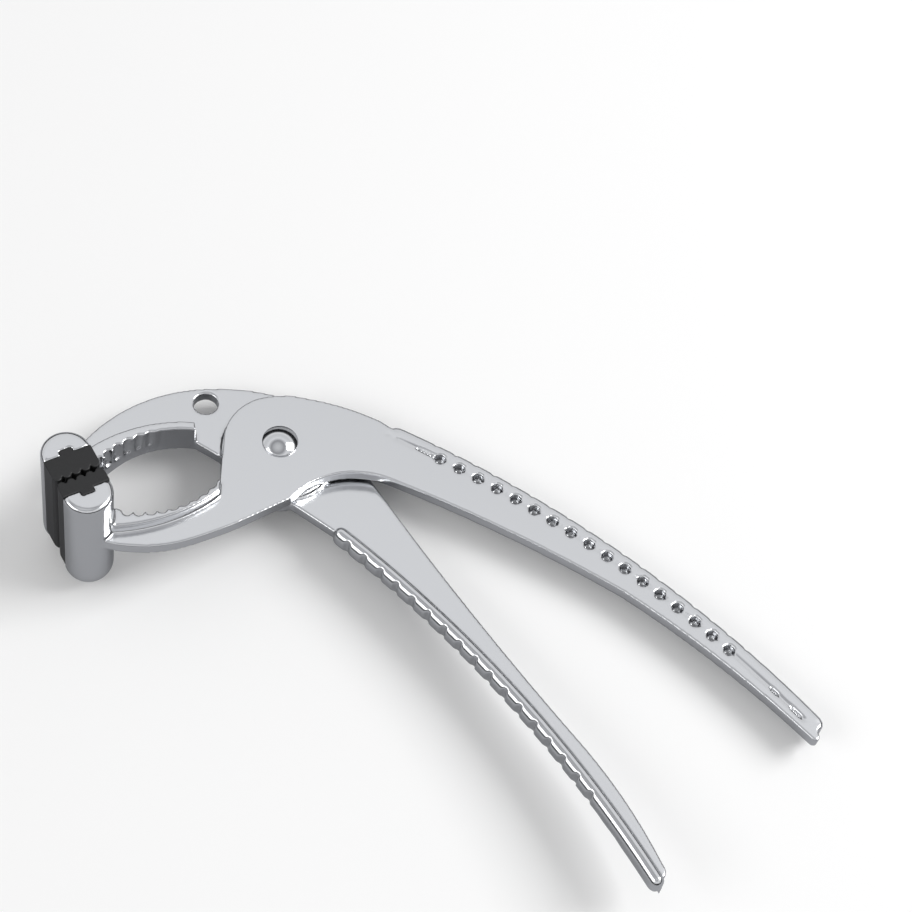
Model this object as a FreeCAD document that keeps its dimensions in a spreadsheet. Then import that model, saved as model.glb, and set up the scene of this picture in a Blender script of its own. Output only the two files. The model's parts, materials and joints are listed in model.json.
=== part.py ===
import FreeCAD, Part
import Sketcher
import math
import os
from FreeCAD import Vector, Placement, Rotation

# Crossed-lever lobster cracker: two cast levers on one rivet, with rubber jaw pads.
# Tool frame: pivot at the origin, z = 0 is the parting plane between the two levers,
# the top lever lies above it and the bottom lever below it.

doc = FreeCAD.newDocument("lobster_cracker")
os.makedirs("parts", exist_ok=True)

# ---------------------------------------------------------------- driving dimensions
sheet = doc.addObject("Spreadsheet::Sheet", "Dimensions")
rows = [
    ("plate_thickness", 3.4, "thickness of the top lever's flat"),
    ("lower_thickness", 3.2, "thickness of the bottom lever's flat"),
    ("land_height", 0.92, "bearing land above the bottom lever's flat"),
    ("land_drop", 1.0, "bottom lever's flat below the parting plane"),
    ("land_radius", 15.8, "bearing land round the rivet"),
    ("head_radius", 14.0, "top lever's head"),
    ("jaw_reach", 52.8, "pivot to the middle of the jaws"),
    ("jaw_bearing", 203.05, "direction of the jaws, degrees"),
    ("post_radius", 6.1, "jaw post"),
    ("post_half_height", 18.5, "jaw post above and below the parting plane"),
    ("post_flat_offset", 0.6, "post centre behind its flat"),
    ("jaw_opening", 10.9, "between the two post flats when closed"),
    ("pad_gap", 0.4, "between the rib tips of the two pads"),
    ("near_pad_body", 3.2, "near pad from its post flat to the rib roots"),
    ("rib_depth", 1.05, "pad ribs"),
    ("rib_pitch", 2.4, "pad ribs"),
    ("tongue_width", 3.3, "pad tongue in the post"),
    ("tongue_depth", 1.4, "pad tongue in the post"),
    ("rim_height", 3.0, "top lever's raised jaw rim above its flat"),
    ("lower_rim_height", 4.9, "bottom lever's jaw rim above the parting plane"),
    ("flange_depth", 3.6, "top lever's jaw flange below its flat"),
    ("rivet_radius", 3.0, "rivet shank"),
    ("rivet_clearance", 0.05, "running clearance of the bottom lever on the rivet"),
    ("rivet_head_radius", 4.5, "domed rivet head"),
    ("rivet_head_height", 2.0, "domed rivet head"),
    ("washer_radius", 5.6, "washer under the peened end"),
    ("washer_thickness", 0.8, "washer under the peened end"),
    ("hanging_hole_radius", 3.1, "hole in the bottom lever's jaw arm"),
    ("handle_length", 151.4, "pivot to the far end of the top lever's handle"),
    ("bead_width", 4.3, "bead under the top lever's handle edge"),
    ("bead_drop", 3.5, "top lever's bead below the parting plane"),
    ("lower_bead_width", 3.7, "bead on the bottom lever's handle edge"),
    ("lower_bead_rise", 2.35, "bottom lever's bead above the parting plane"),
    ("lobe_count", 17, "beads along each handle edge"),
    ("pocket_depth", 2.8, "pockets along the top lever's handle"),
    ("rest_turn", 0.55, "turn of the cracker on the table, degrees"),
    ("tooth_pitch", 2.9, "teeth inside the jaw arms"),
    ("tooth_depth", 0.5, "teeth inside the jaw arms"),
    ("tooth_count", 9, "teeth inside each jaw arm"),
    ("rest_bead_angle", 52.5, "where the top lever's bead touches the table, degrees"),
    ("travel", 40.0, "opening travel of the bottom lever, degrees"),
]
for i, (alias, value, note) in enumerate(rows, start=1):
    sheet.set("A%d" % i, alias)
    sheet.set("B%d" % i, repr(value))
    sheet.set("C%d" % i, note)
    sheet.setAlias("B%d" % i, alias)
doc.recompute()


def val(alias):
    return float(sheet.get(alias))


def bind(obj, prop, text):
    obj.setExpression(prop, text)


# ---------------------------------------------------------------- plan geometry helpers
JAW = val("jaw_reach") / 52.8
GRIP = val("handle_length") / 151.4


def jaw(x, y):
    # a point of a jaw arm, which grows with the jaw reach
    return Vector(x * JAW, y * JAW, 0)


def grip(x, y):
    # a point of a handle, which grows with the handle length
    return Vector(x * GRIP, y * GRIP, 0)


def polar(centre, radius, degrees):
    a = math.radians(degrees)
    return centre + Vector(radius * math.cos(a), radius * math.sin(a), 0)


def origin_plane(body, role):
    for feature in body.Origin.OriginFeatures:
        if feature.Role == role:
            return feature
    raise ValueError(role)


def new_body(name):
    body = doc.addObject("PartDesign::Body", name)
    body.Label = name
    return body


def new_sketch(body, name, role="XY_Plane", at=Vector(0, 0, 0), turn=0.0):
    sketch = body.newObject("Sketcher::SketchObject", name)
    sketch.AttachmentSupport = [(origin_plane(body, role), "")]
    sketch.MapMode = "FlatFace"
    sketch.AttachmentOffset = Placement(at, Rotation(Vector(0, 0, 1), turn))
    return sketch


def upright_arc(start, through, end):
    # an arc through three points, stored counter-clockwise about +Z as Sketcher keeps it
    p, q = through - start, end - start
    double = 2 * (p.x * q.y - p.y * q.x)
    pp, qq = p.dot(p), q.dot(q)
    centre = start + Vector((q.y * pp - p.y * qq) / double, (p.x * qq - q.x * pp) / double, 0)
    first = math.atan2(start.y - centre.y, start.x - centre.x)
    last = math.atan2(end.y - centre.y, end.x - centre.x)
    turn = (through - start).cross(end - through).z
    if turn < 0:
        first, last = last, first
    if last < first:
        last += 2 * math.pi
    round_shape = Part.Circle(centre, Vector(0, 0, 1), (start - centre).Length)
    return Part.ArcOfCircle(round_shape, first, last)


def draw(sketch, steps):
    # steps is a closed walk: a point ends a straight line, a pair ends an arc
    # (point on the arc, end point); every joint gets a coincident constraint
    last = steps[-1][-1] if isinstance(steps[-1], tuple) else steps[-1]
    for step in steps:
        if isinstance(step, tuple):
            sketch.addGeometry(upright_arc(last, step[0], step[1]), False)
            last = step[1]
        else:
            sketch.addGeometry(Part.LineSegment(last, step), False)
            last = step
    count = len(steps)
    shapes = sketch.Geometry
    for k in range(count):
        after = (k + 1) % count
        ends = {1: shapes[k].StartPoint, 2: shapes[k].EndPoint}
        starts = {1: shapes[after].StartPoint, 2: shapes[after].EndPoint}
        pairs = [(p, q) for p in (1, 2) for q in (1, 2)]
        p, q = min(pairs, key=lambda pair: (ends[pair[0]] - starts[pair[1]]).Length)
        sketch.addConstraint(Sketcher.Constraint("Coincident", k, p, after, q))


def circle(sketch, alias, extra=""):
    index = sketch.addGeometry(Part.Circle(Vector(0, 0, 0), Vector(0, 0, 1), 5.0), False)
    sketch.addConstraint(Sketcher.Constraint("Coincident", index, 3, -1, 1))
    at = sketch.addConstraint(Sketcher.Constraint("Radius", index, 5.0))
    bind(sketch, "Constraints[%d]" % at, "Dimensions.%s%s" % (alias, extra))


def pad(body, name, sketch, length, down=False):
    doc.recompute()
    feature = body.newObject("PartDesign::Pad", name)
    feature.Profile = sketch
    bind(feature, "Length", length)
    feature.Reversed = down
    sketch.Visibility = False
    body.Tip = feature
    doc.recompute()
    return feature


def pocket(body, name, sketch, length, up=False):
    # cuts from the sketch downward, or upward when up is set; the volume must drop
    before = body.Shape.Volume
    doc.recompute()
    feature = body.newObject("PartDesign::Pocket", name)
    feature.Profile = sketch
    bind(feature, "Length", length)
    feature.Reversed = up
    sketch.Visibility = False
    body.Tip = feature
    doc.recompute()
    if body.Shape.Volume > before - 1e-3:
        raise RuntimeError(name + " removed nothing")
    return feature


def turn_about(body, name, sketch, angle=360.0, axis="V_Axis", back=False):
    doc.recompute()
    feature = body.newObject("PartDesign::Revolution", name)
    feature.Profile = sketch
    feature.ReferenceAxis = (sketch, [axis])
    feature.Angle = angle
    feature.Reversed = back
    sketch.Visibility = False
    body.Tip = feature
    doc.recompute()
    return feature


def repeat(body, name, feature, sketch, count, angle, back=False):
    # angle is the whole sweep from the first to the last copy
    pattern = body.newObject("PartDesign::PolarPattern", name)
    pattern.Originals = [feature]
    pattern.Axis = (sketch, ["N_Axis"])
    pattern.Reversed = back
    pattern.Mode = "Extent"
    pattern.Angle = angle
    pattern.Occurrences = count
    body.Tip = pattern
    doc.recompute()
    return pattern


# ---------------------------------------------------------------- jaw posts
bearing = val("jaw_bearing")
flat_turn = 27.9
along = Vector(math.cos(math.radians(flat_turn)), math.sin(math.radians(flat_turn)), 0)
across = Vector(-along.y, along.x, 0)
jaw_middle = polar(Vector(0, 0, 0), val("jaw_reach"), bearing)
near_flat = jaw_middle - across * (val("jaw_opening") / 2)
far_flat = jaw_middle + across * (val("jaw_opening") / 2)
near_centre = near_flat - across * val("post_flat_offset")
far_centre = far_flat + across * val("post_flat_offset")
chord_half = math.sqrt(val("post_radius") ** 2 - val("post_flat_offset") ** 2)
top = val("post_half_height")


# small flat left where a turned dome meets its axis
POLE_FLAT = 0.35


def add_post(body, centre, side):
    # a capsule turned about the post's own axis, then cut flat on the jaw side
    radius = val("post_radius")
    sketch = new_sketch(body, "PostProfile", "XZ_Plane", Vector(centre.x, 0, -centre.y))
    knee = radius * (1 - math.sqrt(0.5))
    lip = 1.2
    low = -top + radius
    draw(sketch, [
        Vector(0, top, 0),
        Vector(0, -top, 0),
        Vector(POLE_FLAT, -top, 0),
        (Vector(radius * math.sqrt(0.5), -top + knee, 0), Vector(radius, low, 0)),
        Vector(radius, top - lip, 0),
        (Vector(radius - lip * (1 - math.sqrt(0.5)), top - lip * (1 - math.sqrt(0.5)), 0),
         Vector(radius - lip, top, 0)),
    ])
    turn_about(body, "Post", sketch)
    flat = new_sketch(body, "PostFlatCut", "XY_Plane", Vector(0, 0, top + 1))
    edge = centre + across * side * val("post_flat_offset")
    wide = along * (radius + 1)
    deep = across * side * (radius + 1)
    draw(flat, [edge - wide, edge + wide, edge + wide + deep, edge - wide + deep])
    pocket(body, "PostFlat", flat, "2 * Dimensions.post_half_height + 2")


def add_tongue_slot(body, centre, side):
    # the pad's tongue sits in this slot; it is cut last so that nothing fills it again
    edge = centre + across * side * val("post_flat_offset")
    slot = new_sketch(body, "TongueSlotPlan", "XY_Plane", Vector(0, 0, top + 1))
    wide = along * (val("tongue_width") / 2)
    deep = across * side * val("tongue_depth")
    lead = across * side * 0.5
    draw(slot, [edge - wide + lead, edge + wide + lead, edge + wide - deep, edge - wide - deep])
    pocket(body, "TongueSlot", slot, "2 * Dimensions.post_half_height - 4")


def add_teeth(body, centre, radius, start, sweep, level, length):
    # one hollow cut into the jaw arm's wall, repeated round the arm's own centre
    plan = new_sketch(body, "ToothPlan", "XY_Plane", Vector(centre.x, centre.y, level))
    out = polar(Vector(0, 0, 0), 1.0, start)
    side = Vector(-out.y, out.x, 0)
    half_wide = val("tooth_pitch") * 0.42
    mouth = out * (radius - 0.5)
    draw(plan, [
        mouth - side * half_wide - out,
        mouth + side * half_wide - out,
        mouth + side * half_wide,
        (out * (radius + val("tooth_depth")), mouth - side * half_wide),
    ])
    cut = pocket(body, "Tooth", plan, length)
    repeat(body, "Teeth", cut, plan, int(val("tooth_count")), abs(sweep), sweep < 0)


# ---------------------------------------------------------------- handle arcs
# centres and radii of the handle edges, and the angles where the lobes start and stop
top_centre = grip(-98.5, -260.3)
top_radius = 293.6 * GRIP
top_start = 64.2
top_end = 39.5
top_first = 61.68
lobe_step = 1.058
low_centre = grip(-196.0, -268.5)
low_radius = 322.7 * GRIP
low_first = 49.1
low_last = 28.75
low_step = 0.957
lobes = int(val("lobe_count"))

# ---------------------------------------------------------------- top lever
top_lever = new_body("top_lever")
add_post(top_lever, near_centre, 1)

plan = new_sketch(top_lever, "TopPlan")
top_edge = top_radius + 0.5
arm_end_inner = near_flat + along * chord_half
arm_end_outer = near_centre - across * val("post_radius") * 0.82
draw(plan, [
    (jaw(-33.7, -31.8), jaw(-20.3, -28.9)),
    (jaw(-15.1, -26.6), jaw(-10.0, -24.05)),
    grip(2.8, -16.5),
    (grip(16.4, -8.3), grip(27.1, -9.65)),
    (grip(56.3, -23.4), grip(84.0, -39.4)),
    (grip(107.0, -58.0), grip(126.9, -77.9)),
    (grip(127.9, -78.2), grip(128.7, -77.5)),
    polar(top_centre, top_edge, top_end),
    (polar(top_centre, top_edge, 52.0), polar(top_centre, top_edge, top_start)),
    grip(25.3, 7.5),
    (grip(15.7, 11.4), grip(6.9, 13.45)),
    (Vector(0, val("head_radius"), 0), Vector(-6.0, math.sqrt(val("head_radius") ** 2 - 36), 0)),
    (polar(Vector(0, 0, 0), val("head_radius"), 145), Vector(-val("head_radius"), -0.4, 0)),
    jaw(-14.6, -13.1),
    (jaw(-28.2, -23.1), arm_end_inner),
    near_flat,
    arm_end_outer,
])
pad(top_lever, "TopPlate", plan, "Dimensions.plate_thickness")

rim = new_sketch(top_lever, "TopRimPlan", "XY_Plane", Vector(0, 0, val("plate_thickness") - 0.2))
rim_steps = [
    (jaw(-28.2, -23.1), arm_end_inner),
    near_flat,
    jaw(-44.6, -28.4),
    (jaw(-34.5, -27.3), jaw(-16.6, -18.5)),
    jaw(-14.6, -16.6),
    jaw(-14.6, -13.1),
]
draw(rim, rim_steps)
pad(top_lever, "TopRim", rim, "Dimensions.rim_height + 0.2")

flange = new_sketch(top_lever, "TopFlangePlan", "XY_Plane", Vector(0, 0, 0.2))
draw(flange, [
    (jaw(-28.8, -23.4), arm_end_inner),
    near_flat,
    jaw(-44.6, -28.4),
    (jaw(-34.5, -27.3), jaw(-18.2, -19.8)),
    jaw(-17.0, -16.6),
])
pad(top_lever, "TopFlange", flange, "Dimensions.flange_depth + 0.2", True)

half = val("bead_width") / 2
drop = -val("bead_drop")
thick = val("plate_thickness")
EASE = 0.07

# rounded underneath, square to the flat on top
lip = 0.9
top_section = [
    Vector(top_radius - half, 1.5, 0),
    Vector(top_radius - half, drop + half, 0),
    (Vector(top_radius, drop, 0), Vector(top_radius + half, drop + half, 0)),
    Vector(top_radius + half, thick - lip, 0),
    (Vector(top_radius + half - lip * 0.29, thick - lip * 0.29, 0),
     Vector(top_radius + half - lip, thick, 0)),
    Vector(top_radius - 0.2, thick, 0),
    Vector(top_radius - 0.2, 1.5, 0),
]


def ring_part(body, name, centre, start, sweep, steps):
    # a section swept round a vertical axis at centre, from one angle over a sweep
    sketch = new_sketch(body, name + "Section", "XZ_Plane")
    sketch.AttachmentOffset = Placement(
        Vector(centre.x, 0, -centre.y), Rotation(Vector(0, 1, 0), start))
    draw(sketch, steps)
    return turn_about(body, name, sketch, sweep)


def edge_cut(body, name, centre, radius, start, step, count, steps, level, length, up=False):
    # one cut drawn in its own place on the handle edge, then repeated round the edge's centre
    sketch = new_sketch(body, name + "Plan", "XY_Plane", Vector(centre.x, centre.y, level))
    out = polar(Vector(0, 0, 0), 1.0, start)
    side = Vector(-out.y, out.x, 0)
    origin = out * radius
    walk = []
    for step_points in steps:
        if isinstance(step_points[0], tuple):
            walk.append(tuple(origin + out * p[0] + side * p[1] for p in step_points))
        else:
            walk.append(origin + out * step_points[0] + side * step_points[1])
    draw(sketch, walk)
    cut = pocket(body, name, sketch, length, up)
    return repeat(body, name + "s", cut, sketch, count, step * (count - 1), back=True)


def slit(body, name, centre, radius, start, stop, wide_start, wide_stop, level, length):
    # a thin tapering groove along an arc
    sketch = new_sketch(body, name + "Plan", "XY_Plane", Vector(centre.x, centre.y, level))
    zero = Vector(0, 0, 0)
    middle = (start + stop) / 2
    mean = (wide_start + wide_stop) / 4
    draw(sketch, [
        (polar(zero, radius + mean, middle), polar(zero, radius + wide_stop / 2, stop)),
        polar(zero, radius - wide_stop / 2, stop),
        (polar(zero, radius - mean, middle), polar(zero, radius - wide_start / 2, start)),
        polar(zero, radius + wide_start / 2, start),
    ])
    return pocket(body, name, sketch, length)


ring_part(top_lever, "TopBead", top_centre, top_end, top_start - top_end, top_section)


def bead_cap(body, name, centre, half_width, low, high):
    # rounds the end of a bead: half of its section turned about a vertical axis
    small = 0.7
    ring_part(body, name, centre, 0.0, 360.0, [
        Vector(0, high, 0),
        Vector(0, low, 0),
        Vector(POLE_FLAT, low, 0),
        (Vector(half_width * math.sqrt(0.5), low + half_width * (1 - math.sqrt(0.5)), 0),
         Vector(half_width, low + half_width, 0)),
        Vector(half_width, high - small, 0),
        (Vector(half_width - small * 0.29, high - small * 0.29, 0),
         Vector(half_width - small, high, 0)),
    ])


bead_cap(top_lever, "TopBeadStart", polar(top_centre, top_radius, top_start),
         half - EASE * 2, drop + EASE * 2, thick - EASE)
bead_cap(top_lever, "TopBeadEnd", polar(top_centre, top_radius, top_end),
         half - EASE * 2, drop + EASE * 2, thick - EASE)

edge_cut(top_lever, "TopNotch", top_centre, top_radius + half, top_first + lobe_step / 2,
         lobe_step, lobes + 1,
         [(0.6, -1.5), (0.6, 1.5), (-0.75, 0.0)],
         thick + 1, "Dimensions.plate_thickness + Dimensions.bead_drop + 2")
edge_cut(top_lever, "TopPocket", top_centre, 292.15 * GRIP, top_first, lobe_step, lobes,
         [(-1.3, 0.7), (-1.3, -0.7), (0.0, -1.6), (1.3, -0.7), (1.3, 0.7), (0.0, 1.6)],
         thick, "Dimensions.pocket_depth")
slit(top_lever, "TopSlitStart", top_centre, 292.15 * GRIP, top_first, 64.9, 0.9, 0.25,
     thick, "1.0 mm")
slit(top_lever, "TopSlitMiddle", top_centre, 292.15 * GRIP,
     top_first - lobe_step * (lobes - 1), top_first, 0.35, 0.35, thick, "0.8 mm")
slit(top_lever, "TopSlitEnd", top_centre, 292.0 * GRIP,
     top_end + 0.4, top_first - lobe_step * (lobes - 1) - 0.2, 0.8, 0.5, thick, "1.0 mm")

arm_centre = jaw(-35.3, 0.5)
tooth_turn = math.degrees(val("tooth_pitch") / (24.9 * JAW)) * (val("tooth_count") - 1)
add_teeth(top_lever, arm_centre, 24.9 * JAW, 267.0, tooth_turn,
          thick + val("rim_height") + 0.5, "Dimensions.rim_height + 1.5")

bore = new_sketch(top_lever, "TopBorePlan", "XY_Plane", Vector(0, 0, thick + 1))
circle(bore, "rivet_radius")
pocket(top_lever, "TopBore", bore, "Dimensions.plate_thickness + 2")
add_tongue_slot(top_lever, near_centre, 1)

# ---------------------------------------------------------------- bottom lever
bottom_lever = new_body("bottom_lever")
add_post(bottom_lever, far_centre, -1)
face = -val("land_drop")
floor = face - val("lower_thickness")

plan = new_sketch(bottom_lever, "LowPlan", "XY_Plane", Vector(0, 0, face))
arm_end_inner = far_flat + along * chord_half
arm_end_outer = far_centre + across * val("post_radius") * 0.82
low_edge = low_radius + 0.5
draw(plan, [
    (jaw(-43.4, 6.5), jaw(-16.7, 18.2)),
    (jaw(-8.5, 18.2), jaw(-0.1, 16.7)),
    (polar(Vector(0, 0, 0), 16.2, 50), polar(Vector(0, 0, 0), 16.2, 20.2)),
    grip(23.8, -8.8),
    (grip(46.5, -43.3), grip(73.3, -80.2)),
    (grip(82.9, -95.4), grip(89.3, -108.9)),
    (grip(89.8, -110.4), grip(89.2, -111.8)),
    polar(low_centre, low_edge, low_last - 0.35),
    (polar(low_centre, low_edge, 39.0), polar(low_centre, low_edge, low_first)),
    jaw(3.4, -15.4),
    (polar(Vector(0, 0, 0), 16.1, 242), polar(Vector(0, 0, 0), 16.1, 207)),
    jaw(-14.4, -2.5),
    jaw(-20.8, 1.5),
    (jaw(-34.9, -1.3), arm_end_inner),
    far_flat,
    arm_end_outer,
])
pad(bottom_lever, "LowPlate", plan, "Dimensions.lower_thickness", True)

land = new_sketch(bottom_lever, "LandPlan", "XY_Plane", Vector(0, 0, face - 0.5))
circle(land, "land_radius", " - 1.4")
pad(bottom_lever, "Land", land, "Dimensions.land_height + 0.5")

rim = new_sketch(bottom_lever, "LowRimPlan", "XY_Plane", Vector(0, 0, face - 0.2))
draw(rim, [
    (jaw(-34.9, -1.3), arm_end_inner),
    far_flat,
    jaw(-53.0, -12.0),
    (jaw(-38.2, 0.4), jaw(-21.3, 3.9)),
    jaw(-20.9, 1.6),
])
pad(bottom_lever, "LowRim", rim, "Dimensions.lower_rim_height + Dimensions.land_drop + 0.2")

half = val("lower_bead_width") / 2
rise = val("lower_bead_rise")
section = [
    Vector(low_radius + half, floor + 1.0, 0),
    Vector(low_radius + half, rise - half, 0),
    (Vector(low_radius, rise, 0), Vector(low_radius - half, rise - half, 0)),
    Vector(low_radius - half, floor + 1.0 + half, 0),
    (Vector(low_radius - half * math.sqrt(0.5), floor + 1.0 + half * (1 - math.sqrt(0.5)), 0),
     Vector(low_radius, floor + 1.0, 0)),
]
ring_part(bottom_lever, "LowBead", low_centre, low_last, low_first - low_last, section)


def low_cap(name, centre):
    ring_part(bottom_lever, name, centre, 0.0, 360.0, [
        Vector(0, floor + 1.0, 0),
        Vector(POLE_FLAT, floor + 1.0, 0),
        (Vector(half * math.sqrt(0.5), floor + 1.0 + half * (1 - math.sqrt(0.5)), 0),
         Vector(half, floor + 1.0 + half, 0)),
        Vector(half, rise - half, 0),
        (Vector(half * math.sqrt(0.5), rise - half * (1 - math.sqrt(0.5)), 0),
         Vector(POLE_FLAT, rise, 0)),
        Vector(0, rise, 0),
    ])


half -= EASE
low_cap("LowBeadStart", polar(low_centre, low_radius, low_first))
low_cap("LowBeadEnd", polar(low_centre, low_radius, low_last))
half += EASE
edge_cut(bottom_lever, "LowNotch", low_centre, low_radius - half, low_first - low_step * 0.6,
         low_step, lobes,
         [(-0.6, -1.6), (1.25, 0.0), (-0.6, 1.6)],
         rise + 1, "Dimensions.lower_bead_rise + Dimensions.lower_thickness + 4")

arm_centre = jaw(-24.4, -24.6)
add_teeth(bottom_lever, arm_centre, 25.6 * JAW, 141.0, -tooth_turn,
          val("lower_rim_height") + 0.5,
          "Dimensions.lower_rim_height + Dimensions.land_drop + 0.3")

bore = new_sketch(bottom_lever, "LowBorePlan", "XY_Plane", Vector(0, 0, 1))
circle(bore, "rivet_radius", " + Dimensions.rivet_clearance")
pocket(bottom_lever, "LowBore", bore, "Dimensions.lower_thickness + Dimensions.land_drop + 3")
hang_at = jaw(-18.6, 13.5)
hang = new_sketch(bottom_lever, "HangingHolePlan", "XY_Plane", Vector(hang_at.x, hang_at.y, 1))
circle(hang, "hanging_hole_radius")
pocket(bottom_lever, "HangingHole", hang,
       "Dimensions.lower_thickness + Dimensions.land_drop + 3")

add_tongue_slot(bottom_lever, far_centre, -1)

# ---------------------------------------------------------------- rivet and washer
rivet = new_body("pivot_rivet")
outline = new_sketch(rivet, "RivetProfile", "XZ_Plane")
r = val("rivet_radius")
hr = val("rivet_head_radius")
hh = val("rivet_head_height")
under = floor - 0.05 - val("washer_thickness")


def dome_middle(half_width, height, crown, sign):
    # the middle point of a spherical cap whose centre lies on the axis
    ball = (half_width ** 2 + height ** 2) / (2 * height)
    turn = math.asin(half_width / ball) / 2
    return Vector(ball * math.sin(turn), crown - sign * ball * (1 - math.cos(turn)), 0)


peen = 1.3
skirt = 0.4
draw(outline, [
    Vector(0, under - peen, 0),
    Vector(POLE_FLAT, under - peen, 0),
    (dome_middle(r + 0.9, peen, under - peen, -1), Vector(r + 0.9, under, 0)),
    Vector(r, under, 0),
    Vector(r, thick, 0),
    Vector(hr, thick, 0),
    Vector(hr, thick + skirt, 0),
    (dome_middle(hr, hh - skirt, thick + hh, 1), Vector(POLE_FLAT, thick + hh, 0)),
    Vector(0, thick + hh, 0),
])
turn_about(rivet, "RivetTurned", outline)

ring = doc.addObject("Part::Cylinder", "WasherBlank")
bind(ring, "Radius", "Dimensions.washer_radius")
bind(ring, "Height", "Dimensions.washer_thickness")
hole = doc.addObject("Part::Cylinder", "WasherHole")
bind(hole, "Radius", "Dimensions.rivet_radius")
bind(hole, "Height", "Dimensions.washer_thickness + 2")
ring.Placement = Placement(Vector(0, 0, under), Rotation())
hole.Placement = Placement(Vector(0, 0, under - 1), Rotation())
washer = doc.addObject("Part::Cut", "rivet_washer")
washer.Label = "rivet_washer"
washer.Base = ring
washer.Tool = hole

# ---------------------------------------------------------------- jaw pads
near_body = val("near_pad_body")
deep = val("rib_depth")
gap = val("pad_gap")
far_body = val("jaw_opening") - near_body - 2 * deep - gap


def make_pad(name, flat, side, body_depth, length_alias):
    # side is +1 when the pad grows from the near post and -1 from the far one
    body = new_body(name)
    plan = new_sketch(body, "PadPlan", "XY_Plane", Vector(0, 0, top))
    wide = chord_half - 0.05

    def at(u, v):
        return flat + along * u + across * side * v

    steps = [at(-wide, 0), at(-wide, body_depth - 0.4)]
    pitch = val("rib_pitch")
    ribs = 5
    start = -pitch * ribs / 2
    for k in range(ribs):
        a = start + pitch * k
        steps.append(at(a + 0.15, body_depth))
        steps.append((at(a + pitch * 0.5, body_depth + deep), at(a + pitch - 0.15, body_depth)))
    steps += [at(wide, body_depth - 0.4), at(wide, 0)]
    t = val("tongue_width") / 2 - 0.02
    d = val("tongue_depth") - 0.02
    steps += [at(t, 0), at(t, -d), at(-t, -d), at(-t, 0)]
    draw(plan, steps)
    pad(body, "PadBlock", plan, "2 * Dimensions.post_half_height - Dimensions.post_radius", True)
    return body


top_pad = make_pad("top_lever_pad", near_flat, 1, near_body, "near_pad_body")
low_pad = make_pad("bottom_lever_pad", far_flat, -1, far_body, "jaw_opening")

# ---------------------------------------------------------------- rest attitude
# the cracker lies on the far post's domed end and on the bead under the top lever's handle
sphere = Vector(far_centre.x, far_centre.y, -top + val("post_radius"))
bead_half = val("bead_width") / 2
touch = polar(top_centre, top_radius, val("rest_bead_angle"))
touch.z = drop + bead_half
tangent = polar(Vector(0, 0, 0), 1.0, val("rest_bead_angle") - 90)
up = Vector(0, 0, 1)
for _ in range(30):
    reach = (touch - up * bead_half) - (sphere - up * val("post_radius"))
    up = reach.cross(tangent)
    up.normalize()
    if up.z < 0:
        up = up * -1
# world X is the tool's X laid level; the rest of the frame follows
world_up = Vector(0, 0, 1)
tilt = Rotation(up, world_up)
x_turned = tilt.multVec(Vector(1, 0, 0))
level_turn = Rotation(world_up, -math.degrees(math.atan2(x_turned.y, x_turned.x))
                      + val("rest_turn"))
attitude = level_turn.multiply(tilt)

doc.recompute()
pieces = [top_lever, bottom_lever, rivet, washer, top_pad, low_pad]
box = FreeCAD.BoundBox()
for piece in pieces:
    turned = piece.Shape.copy()
    turned.transformShape(Placement(Vector(0, 0, 0), attitude).toMatrix())
    box.add(turned.optimalBoundingBox(True, False))
centre = Vector((box.XMin + box.XMax) / 2, (box.YMin + box.YMax) / 2, box.ZMin)
for piece in pieces:
    piece.Placement = Placement(centre * -1, attitude)
doc.recompute()

for item in doc.Objects:
    state = item.State
    if "Invalid" in state or "Error" in state:
        raise RuntimeError(item.Label + " is " + str(state))
for piece in pieces:
    shape = piece.Shape
    if shape.isNull() or not shape.isValid() or len(shape.Solids) != 1:
        raise RuntimeError(piece.Label + " has a bad shape, solids %d" % len(shape.Solids))
    shape.exportStep("parts/%s.step" % piece.Label)
    print(piece.Label, "volume %.1f mm3" % shape.Volume)
pivot = Placement(centre * -1, attitude).multVec(Vector(0, 0, 0))
axis = attitude.multVec(Vector(0, 0, 1))
mass_at = Vector(0, 0, 0)
volume = 0.0
for piece in pieces:
    for solid in piece.Shape.Solids:
        mass_at = mass_at + solid.CenterOfMass * solid.Volume
        volume += solid.Volume
mass_at = mass_at * (1 / volume)
foot = Placement(centre * -1, attitude).multVec(sphere)
bead_foot = Placement(centre * -1, attitude).multVec(touch)
print("pivot", pivot, "axis", axis)
hang_at.z = floor + val("lower_thickness") / 2
print("hole", Placement(centre * -1, attitude).multVec(hang_at))
print("size", box.XLength, box.YLength, box.ZLength)
print("centre of volume", mass_at, "between feet", foot, bead_foot)
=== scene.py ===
# %% [markdown]
# # Lobster cracker: looks
# Two cast and chrome-plated levers on one rivet, with black rubber pads between the jaw posts.
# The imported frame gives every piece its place. This script rounds the castings' edges as casting
# and plating leave them, gives each surface its material, and sets the floor, lights and camera.

import json
import math

import bpy
from mathutils import Matrix, Vector

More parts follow.
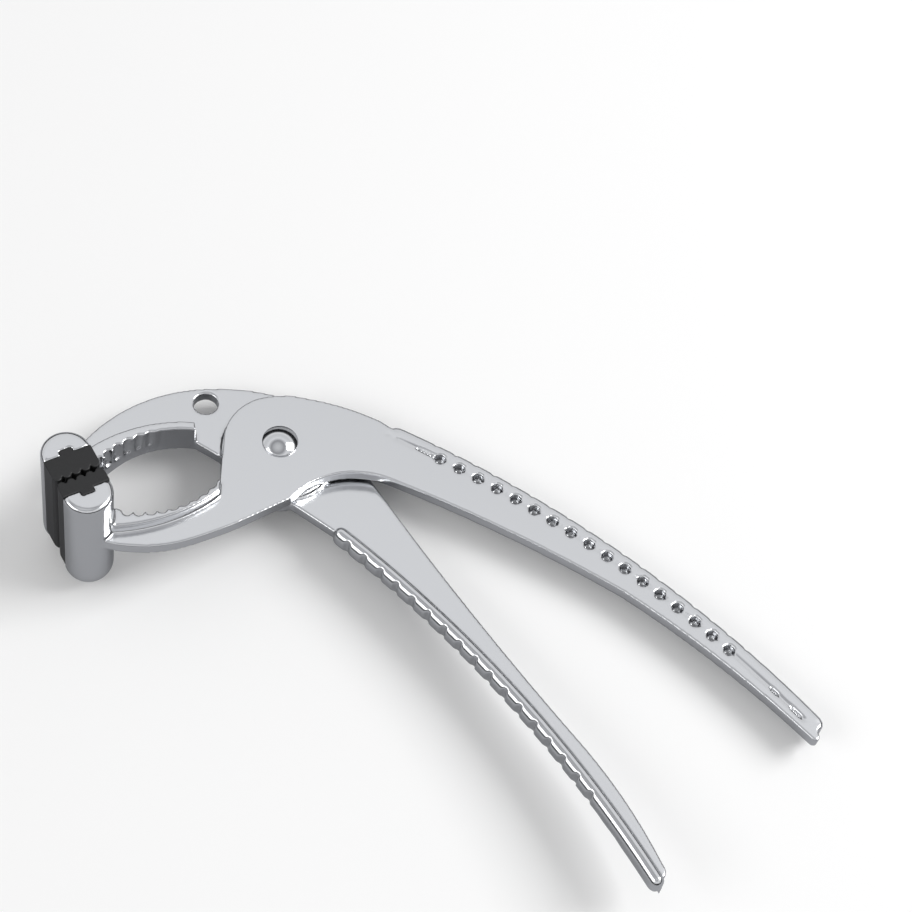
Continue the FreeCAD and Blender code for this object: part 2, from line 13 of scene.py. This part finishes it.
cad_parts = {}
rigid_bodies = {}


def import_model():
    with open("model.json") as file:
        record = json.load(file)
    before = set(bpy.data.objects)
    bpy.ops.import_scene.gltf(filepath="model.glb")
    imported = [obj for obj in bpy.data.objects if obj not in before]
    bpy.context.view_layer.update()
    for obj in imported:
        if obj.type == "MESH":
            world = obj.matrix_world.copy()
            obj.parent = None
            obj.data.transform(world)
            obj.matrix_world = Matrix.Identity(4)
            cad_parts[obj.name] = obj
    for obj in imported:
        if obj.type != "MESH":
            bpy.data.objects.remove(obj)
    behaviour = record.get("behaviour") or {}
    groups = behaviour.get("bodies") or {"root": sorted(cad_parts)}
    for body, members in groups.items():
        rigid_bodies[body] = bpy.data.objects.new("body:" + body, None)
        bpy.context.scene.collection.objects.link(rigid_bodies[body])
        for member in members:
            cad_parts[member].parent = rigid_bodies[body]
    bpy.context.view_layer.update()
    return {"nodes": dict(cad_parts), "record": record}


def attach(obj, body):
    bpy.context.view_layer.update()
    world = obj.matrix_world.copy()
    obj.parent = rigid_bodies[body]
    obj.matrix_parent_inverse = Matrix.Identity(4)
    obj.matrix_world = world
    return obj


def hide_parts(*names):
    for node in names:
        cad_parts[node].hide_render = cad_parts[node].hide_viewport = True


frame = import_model()
MM = 0.001
print("nodes", sorted(frame["nodes"]))

# %% [markdown]
# ## The tool's own frame
# The levers lie flat in a frame that is tilted on the table. The hinge gives it: the joint's
# point is the pivot, and its axis points down through the levers. The castings are softened in
# this frame, so that their flats stay flat.

# %%
hinge = frame["record"]["behaviour"]["joints"][0]
pivot = Vector(hinge["pos_m"])
tool_up = -Vector(hinge["axis"]).normalized()
tool_x = (Vector((1, 0, 0)) - tool_up * tool_up.x).normalized()
tool_y = tool_up.cross(tool_x)
tool_turn = Matrix((tool_x, tool_y, tool_up)).transposed().to_4x4()
tool_frame = Matrix.Translation(pivot) @ tool_turn
print("pivot at", [round(v / MM, 2) for v in pivot], "mm")


# %% [markdown]
# ## Colours
# A hex colour is written in sRGB, as a screen shows it. The shader works in linear light, so one
# function turns the one into the other.

# %%
def linear(hex_value):
    parts = [int(hex_value[i:i + 2], 16) / 255 for i in (1, 3, 5)]
    return [p / 12.92 if p <= 0.04045 else ((p + 0.055) / 1.055) ** 2.4 for p in parts] + [1.0]


print("mid grey in linear light", round(linear("#808080")[0], 3))


# %% [markdown]
# ## Nodes
# One function adds a node with its settings and links. A setting is the node's own property
# where it has one of that name. Otherwise it is a socket, with _ for each space in its name.

# %%
def add(tree, kind, links=(), **settings):
    made = tree.nodes.new(kind)
    for key, value in settings.items():
        if hasattr(made, key):
            setattr(made, key, value)
        else:
            made.inputs[key.replace("_", " ")].default_value = value
    for socket, source in links:
        tree.links.new(source, made.inputs[socket])
    return made


def new_material(name):
    made = bpy.data.materials.new(name)
    made.use_nodes = True
    shader = made.node_tree.nodes["Principled BSDF"]
    print("material", name)
    return made, made.node_tree, shader


# %% [markdown]
# ## Chrome plate on a zinc casting
# Decorative chrome over a die casting is bright but not a mirror. Its flats carry a faint
# orange-peel wave about 3 mm across, and a finer haze from the blasted surface under the
# plating, so reflections have soft edges. The recesses get painted shade: ambient occlusion
# finds them over a depth of about 2 mm, and their colour is darkened there to near black.

# %%
PEEL_WAVE, PEEL_RISE, PEEL_STRENGTH = 3.0 * MM, 0.02 * MM, 0.10
HAZE_GRAIN, HAZE_RISE, HAZE_STRENGTH = 0.45 * MM, 0.006 * MM, 0.12
CHROME_SMOOTHEST, CHROME_ROUGHEST = 0.13, 0.22
RECESS_DEPTH = 2.2 * MM
PAINTED_SHADE_FROM, PLATE_FROM = 0.22, 0.62  # how open a spot is, where each colour is reached
# The near-black colour is painted shade in the recesses, not a colour of the plate.
PAINTED_SHADE_COLOUR, PLATE_COLOUR = "#1B1B1C", "#E2E3E5"


def chrome_plate():
    made, tree, shader = new_material("chrome_plate_on_zinc")
    place = add(tree, "ShaderNodeTexCoord")
    peel = add(tree, "ShaderNodeTexNoise", [("Vector", place.outputs["Object"])],
               Scale=1 / PEEL_WAVE, Detail=2.0)
    haze = add(tree, "ShaderNodeTexNoise", [("Vector", place.outputs["Object"])],
               Scale=1 / HAZE_GRAIN, Detail=4.0)
    rough = add(tree, "ShaderNodeMapRange", [("Value", haze.outputs["Fac"])],
                To_Min=CHROME_SMOOTHEST, To_Max=CHROME_ROUGHEST)
    wave = add(tree, "ShaderNodeBump", [("Height", peel.outputs["Fac"])],
               Strength=PEEL_STRENGTH, Distance=PEEL_RISE)
    grain = add(tree, "ShaderNodeBump",
                [("Height", haze.outputs["Fac"]), ("Normal", wave.outputs["Normal"])],
                Strength=HAZE_STRENGTH, Distance=HAZE_RISE)
    hollow = add(tree, "ShaderNodeAmbientOcclusion", samples=8, only_local=True,
                 Distance=RECESS_DEPTH)
    # Painted shade: the less open a spot is, the darker its base colour, down to near black.
    tone = add(tree, "ShaderNodeValToRGB", [("Fac", hollow.outputs["AO"])])
    painted_shade, plate = tone.color_ramp.elements
    painted_shade.position, painted_shade.color = PAINTED_SHADE_FROM, linear(PAINTED_SHADE_COLOUR)
    plate.position, plate.color = PLATE_FROM, linear(PLATE_COLOUR)
    tree.links.new(rough.outputs["Result"], shader.inputs["Roughness"])
    tree.links.new(grain.outputs["Normal"], shader.inputs["Normal"])
    tree.links.new(tone.outputs["Color"], shader.inputs["Base Color"])
    shader.inputs["Metallic"].default_value = 1.0
    return made


chrome = chrome_plate()


# %% [markdown]
# ## Polished rivet and stamped washer
# Both are steel. The rivet's dome is plated and polished smoother than the castings, with light
# scuffs. The washer is plain strip with a rolled finish. Only the colour, the size of the marks
# and the roughness differ, so one function makes both.

# %%
def rivet_or_washer_steel(name, colour, mark_size, detail, smoothest, roughest):
    made, tree, shader = new_material(name)
    place = add(tree, "ShaderNodeTexCoord")
    marks = add(tree, "ShaderNodeTexNoise", [("Vector", place.outputs["Object"])],
                Scale=1 / mark_size, Detail=detail)
    rough = add(tree, "ShaderNodeMapRange", [("Value", marks.outputs["Fac"])],
                To_Min=smoothest, To_Max=roughest)
    tree.links.new(rough.outputs["Result"], shader.inputs["Roughness"])
    shader.inputs["Base Color"].default_value = linear(colour)
    shader.inputs["Metallic"].default_value = 1.0
    return made


rivet_steel = rivet_or_washer_steel(
    "plated_rivet_steel", colour="#DCDDDF", mark_size=0.8 * MM, detail=3.0,
    smoothest=0.07, roughest=0.15)
washer_steel = rivet_or_washer_steel(
    "stamped_washer_steel", colour="#B9BABC", mark_size=0.3 * MM, detail=5.0,
    smoothest=0.30, roughest=0.45)

# %% [markdown]
# ## Moulded rubber
# The pads are moulded nitrile rubber: near black and semi-matt, with the fine grain that the
# steel mould leaves.

# %%
MOULD_GRAIN, MOULD_RISE, MOULD_STRENGTH = 0.35 * MM, 0.03 * MM, 0.35
RUBBER_ROUGHNESS = 0.48


def moulded_rubber():
    made, tree, shader = new_material("black_nitrile_rubber")
    place = add(tree, "ShaderNodeTexCoord")
    grain = add(tree, "ShaderNodeTexNoise", [("Vector", place.outputs["Object"])],
                Scale=1 / MOULD_GRAIN, Detail=4.0)
    tone = add(tree, "ShaderNodeValToRGB", [("Fac", grain.outputs["Fac"])])
    tone.color_ramp.elements[0].color = linear("#161617")
    tone.color_ramp.elements[1].color = linear("#262627")
    bump = add(tree, "ShaderNodeBump", [("Height", grain.outputs["Fac"])],
               Strength=MOULD_STRENGTH, Distance=MOULD_RISE)
    tree.links.new(tone.outputs["Color"], shader.inputs["Base Color"])
    tree.links.new(bump.outputs["Normal"], shader.inputs["Normal"])
    shader.inputs["Roughness"].default_value = RUBBER_ROUGHNESS
    return made


rubber = moulded_rubber()

# %% [markdown]
# ## Softening a casting
# A casting has no knife edges, and plating rounds them further. A bevel on every edge is easily
# upset by the many small teeth, so a copy of the CAD mesh is merged, remeshed in the tool's own
# frame, smoothed and put back in place. The voxel is the finest detail that is kept: a slit
# narrower than about two voxels closes. Smoothing pulls outer edges in, so each piece stays
# inside its CAD size.

# %%
WELD_GAP = 0.002 * MM
SMOOTHING = 0.5


def soften(node, piece_name, body, slot, material, voxel, passes):
    bpy.ops.object.select_all(action="DESELECT")
    source = frame["nodes"][node]
    source.select_set(True)
    bpy.context.view_layer.objects.active = source
    bpy.ops.object.duplicate()
    piece = bpy.context.view_layer.objects.active
    piece.name = piece_name
    bpy.ops.object.parent_clear(type="CLEAR_KEEP_TRANSFORM")
    bpy.ops.object.mode_set(mode="EDIT")
    bpy.ops.mesh.select_all(action="SELECT")
    bpy.ops.mesh.remove_doubles(threshold=WELD_GAP)
    bpy.ops.object.mode_set(mode="OBJECT")
    piece.data.transform(tool_frame.inverted())
    skin = piece.modifiers.new("skin", "REMESH")
    skin.mode = "VOXEL"
    skin.voxel_size = voxel * MM
    ease = piece.modifiers.new("ease", "SMOOTH")
    ease.factor = SMOOTHING
    ease.iterations = passes
    bpy.ops.object.modifier_apply(modifier="skin")
    bpy.ops.object.modifier_apply(modifier="ease")
    piece.data.transform(tool_frame)
    bpy.ops.object.shade_smooth()
    piece.data.materials.clear()
    piece.data.materials.append(material)
    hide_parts(node)
    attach(piece, body)
    print(piece_name, len(piece.data.polygons), "faces")


# %% [markdown]
# ## The six pieces
# The top body is the upper handle with the near jaw, and carries the rivet, the washer and the
# near pad. The bottom body is the lower handle with the far jaw and the far pad. The small
# turned pieces get a finer voxel than the levers.

# %%
LEVER_SKIN = {"voxel": 0.37, "passes": 3}
RIVET_SKIN = {"voxel": 0.14, "passes": 3}
WASHER_SKIN = {"voxel": 0.12, "passes": 2}
PAD_SKIN = {"voxel": 0.2, "passes": 2}

soften("top_lever", "top_casting", "top_body", "lever_chrome", chrome, **LEVER_SKIN)
soften("bottom_lever", "bottom_casting", "bottom_body", "lever_chrome", chrome, **LEVER_SKIN)
soften("pivot_rivet", "rivet", "top_body", "rivet_steel", rivet_steel, **RIVET_SKIN)
soften("rivet_washer", "washer", "top_body", "washer_steel", washer_steel, **WASHER_SKIN)
soften("top_lever_pad", "near_pad", "top_body", "pad_rubber", rubber, **PAD_SKIN)
soften("bottom_lever_pad", "far_pad", "bottom_body", "pad_rubber", rubber, **PAD_SKIN)

# %% [markdown]
# ## Floor
# A pale seamless paper, large enough to fill the view from every side. Plated metal mirrors it,
# and a white floor would wash out the undersides, so reflections see a greyer paper.

# %%
FLOOR_SIDE = 6.0
PAPER_ROUGHNESS = 0.9
PAPER_SEEN, PAPER_MIRRORED = "#F6F6F6", "#A4A5A8"

bpy.ops.object.select_all(action="DESELECT")
bpy.ops.mesh.primitive_plane_add(size=FLOOR_SIDE, location=(0, 0, 0))
floor = bpy.context.active_object
floor.name = "studio_floor"
paper, tree, shader = new_material("white_paper")
shader.inputs["Roughness"].default_value = PAPER_ROUGHNESS
ray = add(tree, "ShaderNodeLightPath")
sheet = add(tree, "ShaderNodeMix", [("Factor", ray.outputs["Is Glossy Ray"])], data_type="RGBA")
sheet.inputs["A"].default_value = linear(PAPER_SEEN)
sheet.inputs["B"].default_value = linear(PAPER_MIRRORED)
tree.links.new(sheet.outputs["Result"], shader.inputs["Base Color"])
floor.data.materials.append(paper)
print("floor", FLOOR_SIDE, "m across")


# %% [markdown]
# ## Soft boxes
# One broad soft box stands to the right and a little behind, so shadows fall softly to the near
# left. A weaker one fills from the left. Places and sizes are in metres, power in watts.

# %%
def soft_box(name, place, size, power, aim=(0, 0, 0)):
    bpy.ops.object.light_add(type="AREA", location=place)
    box = bpy.context.active_object
    box.name = name
    box.data.shape = "RECTANGLE"
    box.data.size, box.data.size_y = size
    box.data.energy = power
    box.rotation_euler = (Vector(aim) - Vector(place)).to_track_quat("-Z", "Y").to_euler()
    print(name, power, "W")


soft_box("key_box", place=(1.05, 0.25, 0.95), size=(0.7, 0.7), power=13.0)
soft_box("fill_box", place=(-0.9, -0.35, 0.9), size=(0.8, 0.6), power=3.0)

# %% [markdown]
# ## Room
# Chrome shows what is round it. The room that reflections see runs from dark at the horizon to
# pale above, in bands, which draws dark lines along the plated edges. Everything else sees a
# plain white room at a level that lights colours as they are written.

# %%
BANDS = [
    (0.05, "#141516"), (0.30, "#2C2D2F"), (0.40, "#F4F4F5"), (0.55, "#DADBDD"),
    (0.66, "#DEDFE1"), (0.78, "#F0F1F3"), (0.90, "#9A9B9E"), (1.00, "#D4D5D7"),
]
MIRRORED_LEVEL, PLAIN_LEVEL = 1.0, 0.55

room = bpy.data.worlds.new("pale_room")
bpy.context.scene.world = room
room.use_nodes = True
tree = room.node_tree
tree.nodes.clear()
direction = add(tree, "ShaderNodeTexCoord")
height = add(tree, "ShaderNodeSeparateXYZ", [("Vector", direction.outputs["Generated"])])
shade = add(tree, "ShaderNodeValToRGB", [("Fac", height.outputs["Z"])])
stops = shade.color_ramp
while len(stops.elements) < len(BANDS):
    stops.elements.new(0.5)
# Every stop is in its place before any is coloured.
for stop, (position, _) in zip(stops.elements, BANDS):
    stop.position = position
for stop, (_, colour) in zip(stops.elements, BANDS):
    stop.color = linear(colour)
print("bands at heights", [round(stop.position, 2) for stop in stops.elements])

# %% [markdown]
# The two rooms are mixed by the kind of ray that asks.

# %%
path = add(tree, "ShaderNodeLightPath")
shiny = add(tree, "ShaderNodeBackground", [("Color", shade.outputs["Color"])],
            Strength=MIRRORED_LEVEL)
plain = add(tree, "ShaderNodeBackground", Color=linear("#FFFFFF"), Strength=PLAIN_LEVEL)
mix = add(tree, "ShaderNodeMixShader", [
    ("Fac", path.outputs["Is Glossy Ray"]),
    (1, plain.outputs["Background"]),
    (2, shiny.outputs["Background"]),
])
add(tree, "ShaderNodeOutputWorld", [("Surface", mix.outputs["Shader"])])
print("room nodes", len(tree.nodes))

# %% [markdown]
# ## Camera
# It looks along +Y and steeply down. Its place is worked out from the pivot: the pivot's
# depth, and how far left of the middle of the view and above it the pivot sits, each as a part
# of that depth.

# %%
ELEVATION = math.radians(66.5)
DEPTH = 575 * MM
FIELD = math.radians(22.42)
PIVOT_LEFT = 0.0768
PIVOT_ABOVE = 0.0030

forward = Vector((0, math.cos(ELEVATION), -math.sin(ELEVATION)))
upward = Vector((0, math.sin(ELEVATION), math.cos(ELEVATION)))
right = Vector((1, 0, 0))
eye = pivot - DEPTH * (forward - right * PIVOT_LEFT + upward * PIVOT_ABOVE)
bpy.ops.object.camera_add(location=eye)
camera = bpy.context.active_object
camera.rotation_euler = (math.pi / 2 - ELEVATION, 0, 0)
camera.data.lens_unit = "FOV"
camera.data.angle = FIELD
bpy.context.scene.camera = camera
bpy.context.scene.view_settings.view_transform = "Standard"
print("camera at", [round(v, 3) for v in eye])
